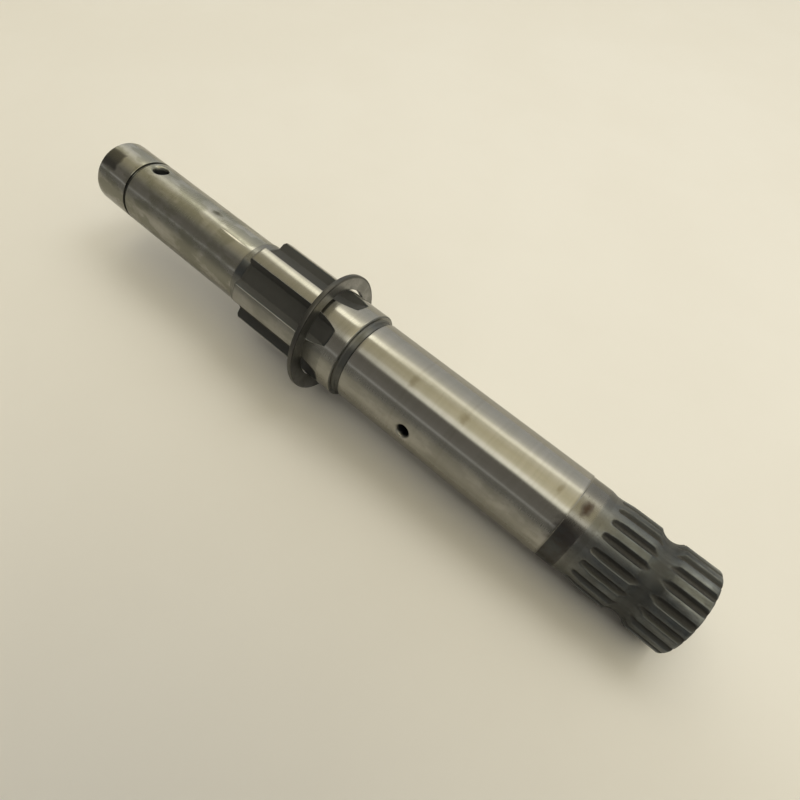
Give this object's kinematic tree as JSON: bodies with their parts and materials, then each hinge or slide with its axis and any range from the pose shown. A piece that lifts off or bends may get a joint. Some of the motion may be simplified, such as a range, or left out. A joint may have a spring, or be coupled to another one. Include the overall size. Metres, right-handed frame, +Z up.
{
  "type": "kickstart shaft",
  "caption": "Stepped steel kickstart shaft with a coarse spline, a ground journal and a serrated lever end, and a loose flat thrust washer on the spline.",
  "frame": {"origin": "on the shaft's axis, at the middle of the ground main journal", "axes": "+X along the axis from the inner end to the serrated end, +Z up as the shaft lies on a table"},
  "size_m": [0.1881, 0.0324, 0.0324],
  "materials": {
    "shaft_steel": "ground journals, dark unground slots and serration, light handling stains",
    "washer_steel": "dark hardened spring steel, oily"
  },
  "bodies": {
    "root": {"kick_shaft": "shaft_steel", "thrust_washer": "washer_steel"}
  },
  "joints": []
}
